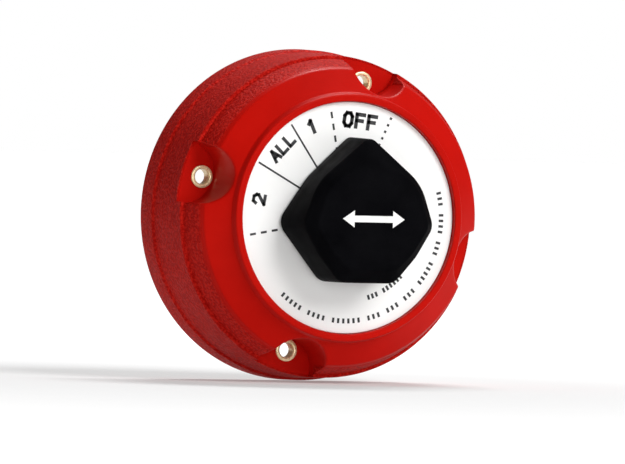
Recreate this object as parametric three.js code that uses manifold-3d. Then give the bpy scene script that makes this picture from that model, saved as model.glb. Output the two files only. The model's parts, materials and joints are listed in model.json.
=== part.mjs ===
// Four-position battery selector switch for a boat's bulkhead, in millimetres.
//
// Each piece is drawn with the selector's axis along local +Z, which points out of the bulkhead from the
// case's rear rim at z = 0, and with local +Y towards the OFF position. Angles run counter-clockwise from
// local +X, as seen from the front. The outer group then turns local +Z to the front (-Y) and +Y up (+Z).
import * as THREE from 'three';
import { mergeVertices } from 'three/addons/utils/BufferGeometryUtils.js';
import Module from 'manifold-3d';

const wasm = await Module();
wasm.setup();

// General
const GAP = 0.3; // between pieces that rest on each other
const REACH = 80; // length of a cutter that has to run right through
const CASE_SIDES = 56;
const PLATE_SIDES = 32;
const BEARING_SIDES = 32;
const ROUND_SIDES = 20;
const SMALL_SIDES = 14;

// Case
const REAR_RADIUS = 66.8;
const BAND_DEPTH = 10.8; // plain band round the rear rim
const BAND_STEP = 0.9;
const WALL_RADIUS = 64.8; // drum wall where it meets the ledge
const LEDGE_Z = 35.5; // ledge between the drum wall and the upper body
const SHOULDER_RADIUS = 59.6;
const SHOULDER_Z = 47.0;
const LIP_OUTER = 49.6;
const LIP_INNER = 46.6;
const LIP_TOP = 56.6;
const DIAL_FLOOR = 52.9;
const FRONT_INSIDE = 49.6; // inner side of the front wall
const WALL = 3.2;

// Screw pockets and their eyelets
const SEAT_Z = 31.0; // floor of the pockets, below the ledge
const HOLE_CIRCLE = 56.0;
const FIRST_HOLE_ANGLE = 74.5;
const HOLE_NAMES = ['top', 'left', 'bottom', 'right'];
const HOLES = HOLE_NAMES.map((name, i) => ({ name, angle: FIRST_HOLE_ANGLE + 90 * i }));
const POCKET_RADIUS = 12.6;
const POCKET_CENTRE = 63.6;
const WEB = 4.0; // floor of a pocket
const EYELET_BORE = 3.0;
const EYELET_BARREL = 3.6;
const EYELET_FLANGE = 4.6;

// Dial plate
const DIAL_RADIUS = LIP_INNER - GAP;
const DIAL_BACK = DIAL_FLOOR + 0.2;
const DIAL_FRONT = DIAL_BACK + 1.0;

// Knob: the outline is the hull of these circles [x, y, radius], mirrored in x
const KNOB_CIRCLES = [[0, 28.7, 3.5], [2.8, 2.0, 21.7], [22.6, -2.0, 6.5], [9.2, -19.3, 6.4]];
const KNOB_BACK = 55.5;
const KNOB_FRONT = 80.0;
const KNOB_BEVEL_DEPTH = 4.5;
const KNOB_BEVEL_INSET = 3.0;
const KNOB_WALL = 3.0;
const KNOB_CEILING = 4.0;
const KNOB_HUB = 10.0;
const MARK_LENGTH = 27.0;
const MARK_HEAD = 3.4; // half height of an arrow head
const MARK_STEM = 1.3; // half height of the stem
const MARK_RECESS = 0.5;
const SET_SCREW_Z = 65.0;
const SET_SCREW_RADIUS = 2.5;
const SET_SCREW_LENGTH = 6.0;

// Selector positions: OFF, 1, ALL, 2
const DETENTS = [0, 23, 48, 81];
const TURN = DETENTS[3];

// Shaft, bush and seal
const SHAFT_RADIUS = 5.0;
const RUNNING = 0.05; // running clearance of the shaft's two bearings
const PIVOT_RADIUS = 3.5;
const SHAFT_FLAT = 4.0; // from the axis to the drive flats
const SHAFT_REAR = 21.6;
const PIVOT_TOP = 27.8;
const SHAFT_FRONT = 74.0;
const COLLAR_Z = 45.3;
const COLLAR_HEIGHT = 0.8;
const BUSH_RADIUS = 9.0;
const BUSH_FLANGE = 12.0;
const BUSH_BACK = 47.3;
const BUSH_FRONT = 54.9;
const SEAL_SEAT = 51.6;
const SEAL_RADIUS = 6.35;
const SEAL_SECTION = 1.05;

// Base plate, its screws and the detent spring's post
const BASE_RADIUS = 47.0;
const BASE_BACK = 21.0;
const BASE_FRONT = 27.0;
const PILLAR_CIRCLE = 41.0;
const PILLAR_RADIUS = 4.6;
const PILLAR_ANGLES = [90, 210, 330];
const BASE_SCREW = 2.0;
const BASE_SCREW_HOLE = 2.35;
const POST_X = 22.0;
const POST_TOP = 45.4;
const POST_HALF = 4.0;
const POST_Y = -29.2;

// Contacts and terminals; the blade points at BLADE_ANGLE in the OFF position
const BLADE_ANGLE = 37;
const BLADE_HALF = 14; // half the blade's angle
const BLADE_REACH = 24.4;
const CONTACT_BACK = BASE_FRONT + GAP;
const CONTACT_FRONT = CONTACT_BACK + 2.2;
const BLADE_BACK = CONTACT_FRONT + GAP;
const BLADE_FRONT = BLADE_BACK + 2.4;
const STUD_CIRCLE = 34.0;
const STUD_RADIUS = 4.76;
const STUD_HOLE = 5.1;
const STUD_END = 2.5;
const STUD_HEAD = 3.6;
const HEX_FLATS = 14.3; // 9/16 in across flats
const CLAMP_NUT = [13.8, 18.8];
const TERMINAL_NUT = [5.2, 11.4];
const FLAT_WASHER_RADIUS = 10.0;
const LOCK_WASHER_RADIUS = 8.2;
const COMMON_RING = [8.4, 14.0];
const TERMINALS = [
  { name: '1', angle: BLADE_ANGLE + 20, pad: [17, 38] },
  { name: '2', angle: BLADE_ANGLE + 86, pad: [42, 95] },
  { name: 'common', angle: 270, pad: null },
];

// Rotor
const ROTOR_RADIUS = 22.0;
const ROTOR_BACK = 40.3;
const ROTOR_FRONT = 45.0;
const HUB_CORNER = 8.2; // hexagonal hub that drives the blade
const HUB_BACK = 29.5;
const NOTCH_ANGLE = 270;
const NOTCH_ROOT = 19.8;
const LUG_ANGLE = 50;
const LUG_HALF = 6;
const LUG_RING = [16.0, 20.0];

// Contact spring: round wire, wound round the rotor's hub
const SPRING_TURNS = 3.5;
const SPRING_RADIUS = 10.2;
const SPRING_WIRE = 0.8; // radius of the wire

// Detent leaf
const LEAF_FACE = -24.6; // local y of the strip's rotor side
const LEAF_NOSE = -20.9;
const LEAF_THICKNESS = 0.6;
const LEAF_EDGE = 0.4; // narrower than the rotor's disc on each side

const radians = THREE.MathUtils.degToRad;

// --- shapes ---------------------------------------------------------------------------------------------

function polar(radius, angle) {
  return [radius * Math.cos(radians(angle)), radius * Math.sin(radians(angle))];
}

// Turns a geometry into one clean indexed mesh: shared vertices merged, empty triangles dropped.
function indexed(geometry) {
  const bare = geometry.clone();
  bare.deleteAttribute('normal');
  bare.deleteAttribute('uv');
  const merged = mergeVertices(bare, 1e-4);
  const corners = merged.index.array;
  const kept = [];
  for (let i = 0; i < corners.length; i += 3) {
    const [a, b, c] = [corners[i], corners[i + 1], corners[i + 2]];
    if (a !== b && b !== c && c !== a) kept.push(a, b, c);
  }
  merged.setIndex(kept);
  return merged;
}

function solid(geometry) {
  const mesh = indexed(geometry);
  return new wasm.Manifold(new wasm.Mesh({
    numProp: 3,
    vertProperties: new Float32Array(mesh.attributes.position.array),
    triVerts: new Uint32Array(mesh.index.array),
  }));
}

function geometryOf(manifold) {
  const mesh = manifold.getMesh();
  const geometry = new THREE.BufferGeometry();
  geometry.setAttribute('position', new THREE.BufferAttribute(mesh.vertProperties, 3));
  geometry.setIndex(new THREE.BufferAttribute(mesh.triVerts, 1));
  return geometry;
}

// A solid of revolution round Z from profile points [radius, z].
function turned(profile, sides) {
  const points = profile.map(([radius, z]) => new THREE.Vector2(radius, z));
  const closed = profile[0][0] > 0;
  if (THREE.ShapeUtils.area(points) < 0) points.reverse();
  if (closed) points.push(points[0].clone());
  return solid(new THREE.LatheGeometry(points, sides).rotateX(Math.PI / 2));
}

function rod(radius, from, to, sides) {
  return turned([[0, from], [radius, from], [radius, to], [0, to]], sides);
}

function rodAt(centre, radius, from, to, sides) {
  return rod(radius, from, to, sides).translate([centre[0], centre[1], 0]);
}

function ring(inner, outer, from, to, sides) {
  return turned([[inner, from], [outer, from], [outer, to], [inner, to]], sides);
}

// A straight prism from outline points [x, y], between two heights.
function prism(outline, from, to) {
  const shape = new THREE.Shape(outline.map(([x, y]) => new THREE.Vector2(x, y)));
  const geometry = new THREE.ExtrudeGeometry(shape, { depth: to - from, bevelEnabled: false });
  return solid(geometry.translate(0, 0, from));
}

// A sector of a flat ring, with a step of about four degrees.
function sector(inner, outer, start, end, from, to) {
  const steps = Math.max(2, Math.round((end - start) / 4));
  const outline = [];
  for (let i = 0; i <= steps; i += 1) outline.push(polar(outer, start + ((end - start) * i) / steps));
  for (let i = steps; i >= 0; i -= 1) outline.push(polar(inner, start + ((end - start) * i) / steps));
  return prism(outline, from, to);
}

function hexagon(flats, from, to) {
  const corner = flats / Math.sqrt(3);
  return prism([0, 60, 120, 180, 240, 300].map((angle) => polar(corner, angle)), from, to);
}

// A hexagonal body with its corners chamfered at both ends.
function chamferedHexagon(flats, from, to) {
  const corner = flats / Math.sqrt(3);
  const rim = flats / 2 - 0.3;
  const chamfer = (corner - rim) * 0.55;
  const envelope = turned([
    [0, from], [rim, from], [corner, from + chamfer], [corner, to - chamfer], [rim, to], [0, to],
  ], ROUND_SIDES);
  return hexagon(flats, from, to).intersect(envelope);
}

// A round bar with two flats, square to local Y, at +-flat from the axis.
function flattedRod(radius, flat, from, to) {
  const block = prism([[-radius, -flat], [radius, -flat], [radius, flat], [-radius, flat]], from, to);
  return rod(radius, from, to, BEARING_SIDES).intersect(block);
}

// The outline round a set of circles: for each direction, the farthest circle's own rim point.
function hullOfCircles(circles, inset, steps) {
  const outline = [];
  for (let i = 0; i < steps; i += 1) {
    const [nx, ny] = polar(1, (360 * (i + 0.5)) / steps);
    let best = null;
    let far = -Infinity;
    for (const [x, y, radius] of circles) {
      for (const side of [x, -x]) {
        const support = side * nx + y * ny + radius;
        if (support > far) {
          far = support;
          best = [side + (radius - inset) * nx, y + (radius - inset) * ny];
        }
      }
    }
    outline.push(best);
  }
  return outline;
}

// --- the pieces -----------------------------------------------------------------------------------------

function makeCase() {
  const body = turned([
    [0, 0],
    [REAR_RADIUS, 0],
    [REAR_RADIUS - 0.2, BAND_DEPTH],
    [REAR_RADIUS - 0.2 - BAND_STEP, BAND_DEPTH + BAND_STEP],
    [WALL_RADIUS, LEDGE_Z - 0.8],
    [WALL_RADIUS - 1.4, LEDGE_Z + 0.2],
    [SHOULDER_RADIUS + 1.8, SHOULDER_Z - 4.4],
    [SHOULDER_RADIUS, SHOULDER_Z],
    [SHOULDER_RADIUS - 1.4, SHOULDER_Z + 1.4],
    [LIP_OUTER + 0.5, LIP_TOP - 3.4],
    [LIP_OUTER, LIP_TOP - 1.0],
    [LIP_OUTER - 0.9, LIP_TOP],
    [LIP_INNER + 0.5, LIP_TOP],
    [LIP_INNER, LIP_TOP - 0.5],
    [LIP_INNER, DIAL_FLOOR],
    [0, DIAL_FLOOR],
  ], CASE_SIDES);
  let cavity = turned([
    [0, -1],
    [REAR_RADIUS - WALL, -1],
    [WALL_RADIUS - WALL, LEDGE_Z - 2.0],
    [SHOULDER_RADIUS - 2.4, SHOULDER_Z - 2.0],
    [LIP_OUTER - 1.6, FRONT_INSIDE],
    [0, FRONT_INSIDE],
  ], CASE_SIDES);
  let cuts = rod(BUSH_RADIUS + GAP, FRONT_INSIDE - 1, DIAL_FLOOR + 1, ROUND_SIDES);
  for (const { angle } of HOLES) {
    const pocket = polar(POCKET_CENTRE, angle);
    cavity = cavity.subtract(rodAt(pocket, POCKET_RADIUS + WALL, SEAT_Z - WEB, REACH, PLATE_SIDES));
    cuts = cuts.add(rodAt(pocket, POCKET_RADIUS, SEAT_Z, REACH, PLATE_SIDES));
    cuts = cuts.add(rodAt(polar(HOLE_CIRCLE, angle), EYELET_BARREL + GAP, 0, REACH, SMALL_SIDES));
  }
  for (const angle of PILLAR_ANGLES) {
    const centre = polar(PILLAR_CIRCLE, angle);
    cavity = cavity.subtract(rodAt(centre, PILLAR_RADIUS, BASE_FRONT + GAP, REACH, SMALL_SIDES));
    cuts = cuts.add(rodAt(centre, BASE_SCREW_HOLE, 0, 40, SMALL_SIDES));
  }
  const stopWidth = 10;
  const stopOffset = LUG_HALF + 1 + stopWidth / 2;
  for (const middle of [LUG_ANGLE - stopOffset, LUG_ANGLE + TURN + stopOffset]) {
    const [inner, outer] = LUG_RING;
    const edges = [middle - stopWidth / 2, middle + stopWidth / 2];
    cavity = cavity.subtract(sector(inner, outer, edges[0], edges[1], ROTOR_FRONT + 0.6, REACH));
  }
  return body.subtract(cavity).subtract(cuts);
}

// A rolled eyelet: flange on the pocket floor, barrel through the web, flared rear end.
function makeEyelet() {
  const seat = SEAT_Z + GAP;
  const rear = SEAT_Z - WEB - GAP;
  return turned([
    [EYELET_BORE, rear - 0.5],
    [EYELET_FLANGE - 0.4, rear - 0.5],
    [EYELET_FLANGE - 0.2, rear],
    [EYELET_BARREL, rear],
    [EYELET_BARREL, seat],
    [EYELET_FLANGE, seat],
    [EYELET_FLANGE, seat + 0.4],
    [EYELET_FLANGE - 0.4, seat + 0.8],
    [EYELET_BORE + 0.3, seat + 0.8],
    [EYELET_BORE, seat + 0.5],
  ], SMALL_SIDES);
}

function makeDialPlate() {
  return ring(BUSH_RADIUS + GAP, DIAL_RADIUS, DIAL_BACK, DIAL_FRONT, CASE_SIDES);
}

function markOutline(grow) {
  const tip = MARK_LENGTH / 2 + grow;
  const root = MARK_LENGTH / 2 - MARK_HEAD * 1.5 - grow * 0.4;
  const head = MARK_HEAD + grow * 1.4;
  const stem = MARK_STEM + grow;
  return [
    [-tip, 0], [-root, -head], [-root, -stem], [root, -stem], [root, -head],
    [tip, 0], [root, head], [root, stem], [-root, stem], [-root, head],
  ];
}

function makeKnob() {
  const outline = hullOfCircles(KNOB_CIRCLES, KNOB_BEVEL_INSET, 48);
  const shape = new THREE.Shape(outline.map(([x, y]) => new THREE.Vector2(x, y)));
  const bevelled = solid(new THREE.ExtrudeGeometry(shape, {
    depth: KNOB_FRONT - KNOB_BACK - KNOB_BEVEL_DEPTH,
    bevelThickness: KNOB_BEVEL_DEPTH,
    bevelSize: KNOB_BEVEL_INSET,
    bevelSegments: 1,
  }).translate(0, 0, KNOB_BACK));
  const shell = bevelled.subtract(rod(REACH, 0, KNOB_BACK, SMALL_SIDES));
  const ceiling = KNOB_FRONT - KNOB_CEILING;
  const hollow = prism(hullOfCircles(KNOB_CIRCLES, KNOB_WALL, 32), KNOB_BACK - 1, ceiling)
    .subtract(rod(KNOB_HUB, 0, REACH, ROUND_SIDES));
  const bore = flattedRod(SHAFT_RADIUS + GAP, SHAFT_FLAT + GAP, 0, SHAFT_FRONT + GAP);
  const recess = prism(markOutline(GAP), KNOB_FRONT - MARK_RECESS - GAP, REACH);
  return shell.subtract(hollow).subtract(bore).subtract(recess).subtract(setScrewHole());
}

function makeKnobMark() {
  return prism(markOutline(0), KNOB_FRONT - MARK_RECESS, KNOB_FRONT + 0.1);
}

// Lays a piece drawn along +Z on its side, so that it runs down (-Y) from the axis at a given height.
function downward(manifold, z) {
  return manifold.rotate([90, 0, 0]).translate([0, 0, z]);
}

function setScrewHole() {
  return downward(rod(SET_SCREW_RADIUS + GAP, SHAFT_FLAT, REACH, SMALL_SIDES), SET_SCREW_Z);
}

function makeSetScrew() {
  const tip = SHAFT_FLAT + GAP;
  const body = rod(SET_SCREW_RADIUS, tip, tip + SET_SCREW_LENGTH, SMALL_SIDES);
  return downward(body.subtract(hexagon(SET_SCREW_RADIUS, tip + SET_SCREW_LENGTH / 2, REACH)), SET_SCREW_Z);
}

function makeShaft() {
  const groove = ring(SHAFT_RADIUS - 0.8, SHAFT_RADIUS + 2, PIVOT_TOP + 0.5, PIVOT_TOP + 1.5, ROUND_SIDES);
  const rear = rod(PIVOT_RADIUS, SHAFT_REAR, COLLAR_Z, BEARING_SIDES);
  const drive = flattedRod(SHAFT_RADIUS, SHAFT_FLAT, PIVOT_TOP, COLLAR_Z + 0.2).subtract(groove);
  const collar = rod(SHAFT_RADIUS + 3.2, COLLAR_Z, COLLAR_Z + COLLAR_HEIGHT, ROUND_SIDES);
  const journal = rod(SHAFT_RADIUS, COLLAR_Z, BUSH_FRONT + 0.2, BEARING_SIDES);
  const nose = flattedRod(SHAFT_RADIUS, SHAFT_FLAT, BUSH_FRONT, SHAFT_FRONT);
  return rear.add(drive).add(collar).add(journal).add(nose);
}

function makeBush() {
  const outer = turned([
    [0, BUSH_BACK], [BUSH_FLANGE, BUSH_BACK], [BUSH_FLANGE, FRONT_INSIDE - GAP],
    [BUSH_RADIUS, FRONT_INSIDE - GAP], [BUSH_RADIUS, BUSH_FRONT], [0, BUSH_FRONT],
  ], ROUND_SIDES);
  const bore = rod(SHAFT_RADIUS + RUNNING, 0, REACH, BEARING_SIDES);
  const seat = rod(SEAL_RADIUS + SEAL_SECTION + 0.15, SEAL_SEAT, REACH, ROUND_SIDES);
  return outer.subtract(bore).subtract(seat);
}

function makeSeal() {
  const middle = SEAL_SEAT + SEAL_SECTION + 0.3;
  return solid(new THREE.TorusGeometry(SEAL_RADIUS, SEAL_SECTION, 6, ROUND_SIDES).translate(0, 0, middle));
}

function makeThrustWasher() {
  const from = COLLAR_Z + COLLAR_HEIGHT + 0.25;
  return ring(SHAFT_RADIUS + GAP, BUSH_FLANGE - 2, from, BUSH_BACK - 0.25, ROUND_SIDES);
}

function makeRotor() {
  const disc = turned([
    [0, ROTOR_BACK], [ROTOR_RADIUS - 0.6, ROTOR_BACK], [ROTOR_RADIUS, ROTOR_BACK + 0.6],
    [ROTOR_RADIUS, ROTOR_FRONT - 0.6], [ROTOR_RADIUS - 0.6, ROTOR_FRONT], [0, ROTOR_FRONT],
  ], PLATE_SIDES);
  const hub = hexagon(HUB_CORNER * Math.sqrt(3), HUB_BACK, ROTOR_BACK + 1);
  const [inner, outer] = LUG_RING;
  const edges = [LUG_ANGLE - LUG_HALF, LUG_ANGLE + LUG_HALF];
  const lug = sector(inner, outer, edges[0], edges[1], ROTOR_FRONT - 1, FRONT_INSIDE - 0.6);
  const bore = flattedRod(SHAFT_RADIUS + GAP, SHAFT_FLAT + GAP, 0, REACH);
  let rotor = disc.add(hub).add(lug).subtract(bore);
  for (const detent of DETENTS) {
    const width = 3.8;
    const mouth = ROTOR_RADIUS + 0.8;
    const notch = prism([[NOTCH_ROOT, -0.3], [mouth, -width], [mouth, width], [NOTCH_ROOT, 0.3]], 0, REACH);
    rotor = rotor.subtract(notch.rotate([0, 0, NOTCH_ANGLE - detent]));
  }
  return rotor;
}

function makeMovingContact() {
  const collar = ring(HUB_CORNER - 1, COMMON_RING[1], BLADE_BACK, BLADE_FRONT, ROUND_SIDES);
  const edges = [BLADE_ANGLE - BLADE_HALF, BLADE_ANGLE + BLADE_HALF];
  const blade = sector(COMMON_RING[1] - 2, BLADE_REACH, edges[0], edges[1], BLADE_BACK, BLADE_FRONT);
  const drive = hexagon((HUB_CORNER + GAP) * Math.sqrt(3), 0, REACH);
  return collar.add(blade).subtract(drive);
}

// Round-wire compression spring between the rotor and the moving contact.
class SpringCurve extends THREE.Curve {
  getPoint(t, target = new THREE.Vector3()) {
    const [x, y] = polar(SPRING_RADIUS, 360 * SPRING_TURNS * t);
    const from = BLADE_FRONT + GAP + SPRING_WIRE;
    const to = ROTOR_BACK - GAP - SPRING_WIRE;
    return target.set(x, y, THREE.MathUtils.lerp(from, to, t));
  }
}

function makeContactSpring() {
  const wire = new THREE.Shape();
  wire.absarc(0, 0, SPRING_WIRE, 0, 2 * Math.PI);
  return solid(new THREE.ExtrudeGeometry(wire, {
    extrudePath: new SpringCurve(), steps: 42, curveSegments: 3,
  }));
}

// Open ring that snaps into the shaft's groove, with its gap opposite the OFF side.
function makeRetainingRing() {
  const from = PIVOT_TOP + 0.6;
  const body = ring(SHAFT_RADIUS - 0.5, SHAFT_RADIUS + 1.8, from, from + 0.8, ROUND_SIDES);
  return body.subtract(prism([[-1.6, -REACH], [1.6, -REACH], [1.6, 0], [-1.6, 0]], 0, REACH));
}

// Spring strip on edge: its V nose sits in the rotor's notch below the axis.
function makeDetentLeaf() {
  const back = LEAF_FACE - LEAF_THICKNESS;
  const end = POST_X + POST_HALF;
  const outline = [
    [end, LEAF_FACE], [4.3, LEAF_FACE], [0.9, LEAF_NOSE], [-0.9, LEAF_NOSE], [-4.3, LEAF_FACE],
    [-4.1, back], [-0.6, LEAF_NOSE - 0.9], [0.6, LEAF_NOSE - 0.9], [4.1, back], [end, back],
  ];
  const strip = prism(outline.reverse(), ROTOR_BACK + LEAF_EDGE, ROTOR_FRONT - LEAF_EDGE);
  return strip.subtract(detentScrewHole(1.8));
}

function detentScrewHole(radius) {
  const hole = rod(radius, 0, 12, SMALL_SIDES).rotate([-90, 0, 0]);
  return hole.translate([POST_X, -33, (ROTOR_BACK + ROTOR_FRONT) / 2]);
}

function makeDetentScrew() {
  const screw = turned([
    [0, 0], [1.4, 0], [1.4, 7], [2.7, 7], [2.7, 8.2], [1.9, 9], [0, 9],
  ], SMALL_SIDES).subtract(prism([[-3, -0.35], [3, -0.35], [3, 0.35], [-3, 0.35]], 8.2, 10));
  return screw.rotate([-90, 0, 0]).translate([POST_X, LEAF_FACE + GAP - 7, (ROTOR_BACK + ROTOR_FRONT) / 2]);
}

function makeBasePlate() {
  const disc = turned([
    [0, BASE_BACK], [BASE_RADIUS - 0.8, BASE_BACK], [BASE_RADIUS, BASE_BACK + 0.8],
    [BASE_RADIUS, BASE_FRONT], [0, BASE_FRONT],
  ], PLATE_SIDES);
  const top = POST_Y + POST_HALF - GAP;
  const foot = POST_Y - POST_HALF;
  const sides = [POST_X - POST_HALF, POST_X + POST_HALF];
  const post = prism([[sides[0], foot], [sides[1], foot], [sides[1], top], [sides[0], top]],
    BASE_FRONT - 1, POST_TOP);
  let cuts = rod(PIVOT_RADIUS + RUNNING, 0, BASE_FRONT + 1, BEARING_SIDES).add(detentScrewHole(1.7));
  for (const angle of PILLAR_ANGLES) {
    cuts = cuts.add(rodAt(polar(PILLAR_CIRCLE, angle), BASE_SCREW_HOLE, 0, REACH, SMALL_SIDES));
  }
  for (const { angle } of TERMINALS) {
    cuts = cuts.add(rodAt(polar(STUD_CIRCLE, angle), STUD_HOLE, 0, REACH, SMALL_SIDES));
  }
  return disc.add(post).subtract(cuts);
}

function makeBaseScrew() {
  const head = BASE_BACK - GAP;
  const screw = turned([
    [0, head - 2.6], [2.6, head - 2.6], [3.9, head - 1.4], [3.9, head],
    [BASE_SCREW, head], [BASE_SCREW, 37], [1.2, 38], [0, 38],
  ], SMALL_SIDES);
  return screw.subtract(prism([[-5, -0.5], [5, -0.5], [5, 0.5], [-5, 0.5]], head - 4, head - 1.6));
}

function makeFixedContact(terminal) {
  const eye = rodAt(polar(STUD_CIRCLE, terminal.angle), 8.6, CONTACT_BACK, CONTACT_FRONT, ROUND_SIDES);
  const hole = rodAt(polar(STUD_CIRCLE, terminal.angle), STUD_HOLE, 0, REACH, SMALL_SIDES);
  if (terminal.pad) {
    const [start, end] = terminal.pad.map((angle) => BLADE_ANGLE + angle);
    const pad = sector(COMMON_RING[1] + 1.4, STUD_CIRCLE, start, end, CONTACT_BACK, CONTACT_FRONT);
    return pad.add(eye).subtract(hole);
  }
  const arm = prism([[-5, -STUD_CIRCLE], [5, -STUD_CIRCLE], [5, -10], [-5, -10]],
    CONTACT_BACK, CONTACT_FRONT);
  const body = rod(COMMON_RING[1], CONTACT_BACK, CONTACT_FRONT, ROUND_SIDES).add(arm).add(eye);
  return body.subtract(rod(COMMON_RING[0], 0, REACH, ROUND_SIDES)).subtract(hole);
}

function makeStud() {
  const head = CONTACT_FRONT + GAP;
  const shank = turned([
    [0, STUD_END], [STUD_RADIUS - 0.8, STUD_END], [STUD_RADIUS, STUD_END + 0.8],
    [STUD_RADIUS, head + 1], [0, head + 1],
  ], SMALL_SIDES);
  return chamferedHexagon(HEX_FLATS, head, head + STUD_HEAD).add(shank);
}

function makeNut([from, to]) {
  return chamferedHexagon(HEX_FLATS, from, to).subtract(rod(STUD_HOLE, 0, REACH, SMALL_SIDES));
}

function makeFlatWasher() {
  return ring(STUD_HOLE + 0.1, FLAT_WASHER_RADIUS, CLAMP_NUT[1] + GAP, BASE_BACK - GAP, ROUND_SIDES);
}

// Split spring washer: a ring with a slanting cut.
function makeLockWasher() {
  const [back, front] = [TERMINAL_NUT[1] + GAP, CLAMP_NUT[0] - GAP];
  const body = ring(STUD_HOLE + 0.1, LOCK_WASHER_RADIUS, back, front, ROUND_SIDES);
  return body.subtract(prism([[4, -0.9], [10, 0.1], [10, 1.5], [4, 0.5]], 0, REACH));
}

// --- materials and assembly -----------------------------------------------------------------------------

function finish(color, roughness, metalness) {
  return new THREE.MeshStandardMaterial({ color, roughness, metalness });
}

const redPlastic = finish(0xc4160f, 0.35, 0);
const blackPlastic = finish(0x111114, 0.35, 0);
const whitePlastic = finish(0xf4f4f1, 0.4, 0);
const phenolic = finish(0x1b1714, 0.55, 0);
const brass = finish(0xc9a24f, 0.3, 1);
const copper = finish(0xb8704a, 0.35, 1);
const steel = finish(0xb9bcc0, 0.3, 1);
const rubber = finish(0x161616, 0.8, 0);

const battery_switch = new THREE.Group();
battery_switch.rotation.x = Math.PI / 2;

function place(name, manifold, material, [x, y] = [0, 0], turn = 0) {
  const mesh = new THREE.Mesh(geometryOf(manifold), material);
  mesh.name = name;
  mesh.position.set(x, y, 0);
  mesh.rotation.z = radians(turn);
  battery_switch.add(mesh);
}

place('case', makeCase(), redPlastic);
place('dial_plate', makeDialPlate(), whitePlastic);
place('knob', makeKnob(), blackPlastic);
place('knob_mark', makeKnobMark(), whitePlastic);
place('knob_set_screw', makeSetScrew(), steel);
place('shaft', makeShaft(), steel);
place('shaft_bush', makeBush(), brass);
place('shaft_seal', makeSeal(), rubber);
place('thrust_washer', makeThrustWasher(), steel);
place('rotor', makeRotor(), blackPlastic);
place('retaining_ring', makeRetainingRing(), steel);
place('moving_contact', makeMovingContact(), copper);
place('contact_spring', makeContactSpring(), steel);
place('detent_leaf', makeDetentLeaf(), steel);
place('detent_screw', makeDetentScrew(), steel);
place('base_plate', makeBasePlate(), phenolic);

PILLAR_ANGLES.forEach((angle, i) => {
  place(`base_screw_${i + 1}`, makeBaseScrew(), steel, polar(PILLAR_CIRCLE, angle), angle + 35 * i);
});

for (const { name, angle } of HOLES) {
  place(`eyelet_${name}`, makeEyelet(), brass, polar(HOLE_CIRCLE, angle));
}

TERMINALS.forEach((terminal, i) => {
  const centre = polar(STUD_CIRCLE, terminal.angle);
  const spin = 17 * i;
  place(`fixed_contact_${terminal.name}`, makeFixedContact(terminal), copper);
  place(`stud_${terminal.name}`, makeStud(), brass, centre, terminal.angle);
  place(`flat_washer_${terminal.name}`, makeFlatWasher(), brass, centre);
  place(`clamp_nut_${terminal.name}`, makeNut(CLAMP_NUT), brass, centre, 10 + spin);
  place(`lock_washer_${terminal.name}`, makeLockWasher(), steel, centre, 140 - spin);
  place(`terminal_nut_${terminal.name}`, makeNut(TERMINAL_NUT), brass, centre, 25 - spin);
});

export default battery_switch;
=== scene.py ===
"""Battery selector switch: the looks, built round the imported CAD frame. Units are metres."""
import json
import math
import random

import bmesh
import bpy
import numpy as np
from mathutils import Matrix, Vector


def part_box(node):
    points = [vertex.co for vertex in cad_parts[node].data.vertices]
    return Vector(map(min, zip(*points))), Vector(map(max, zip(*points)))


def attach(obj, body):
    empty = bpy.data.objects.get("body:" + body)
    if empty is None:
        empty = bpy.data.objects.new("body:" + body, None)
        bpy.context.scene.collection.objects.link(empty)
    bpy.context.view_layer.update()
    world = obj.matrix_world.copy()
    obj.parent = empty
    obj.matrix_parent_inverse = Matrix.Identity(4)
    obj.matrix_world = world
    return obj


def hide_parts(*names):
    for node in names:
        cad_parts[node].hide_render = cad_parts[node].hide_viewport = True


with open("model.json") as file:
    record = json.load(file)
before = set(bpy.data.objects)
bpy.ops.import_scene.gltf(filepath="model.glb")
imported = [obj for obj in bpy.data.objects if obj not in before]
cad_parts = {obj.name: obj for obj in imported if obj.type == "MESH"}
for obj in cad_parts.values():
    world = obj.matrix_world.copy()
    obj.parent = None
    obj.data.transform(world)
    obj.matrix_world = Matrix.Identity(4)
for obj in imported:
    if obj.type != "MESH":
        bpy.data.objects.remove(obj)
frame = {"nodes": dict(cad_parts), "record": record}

random.seed(7)
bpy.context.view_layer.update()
MM = 0.001
NODES = frame["nodes"]
HOUSING = "housing"
SELECTOR = "selector"


# --- sizes, read from the frame -------------------------------------------------------------------------

def node_box(name):
    """The node's box in millimetres, as (low, high) with the depth measured out of the bulkhead."""
    low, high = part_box(name)
    return (Vector((low.x, low.z, -high.y)) / MM, Vector((high.x, high.z, -low.y)) / MM)


def centre_of(name):
    """A round node's axis point, as (x, y) across the front, in millimetres."""
    low, high = node_box(name)
    return ((low.x + high.x) / 2, (low.y + high.y) / 2)


REAR_RADIUS = node_box("case")[1].x
LIP_TOP = node_box("case")[1].z
DIAL_BACK = node_box("dial_plate")[0].z
DIAL_FRONT = node_box("dial_plate")[1].z
DIAL_RADIUS = node_box("dial_plate")[1].x
KNOB_BACK = node_box("knob")[0].z
KNOB_FRONT = node_box("knob")[1].z
LEDGE_Z = 35.5          # ledge between the drum wall and the upper body
SEAT_Z = 31.0           # floor of the screw pockets
DIAL_FLOOR = 52.9
HOLE_CIRCLE = 56.0
FIRST_HOLE = 74.5       # angle of the first mounting hole
HOLE_NAMES = ["top", "left", "bottom", "right"]
POCKET_RADIUS = 12.6
POCKET_CENTRE = 63.6
POCKET_WEB = 4.0        # floor of a pocket
EYELET_BORE = 3.0
EYELET_FLANGE = 4.6
EYELET_BARREL = 3.65
BUSH_BORE = 9.3         # through the case's front, round the bush
TERMINALS = ["1", "2", "common"]
BASE_SCREWS = ["base_screw_1", "base_screw_2", "base_screw_3"]


# --- mesh helpers ---------------------------------------------------------------------------------------

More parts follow.
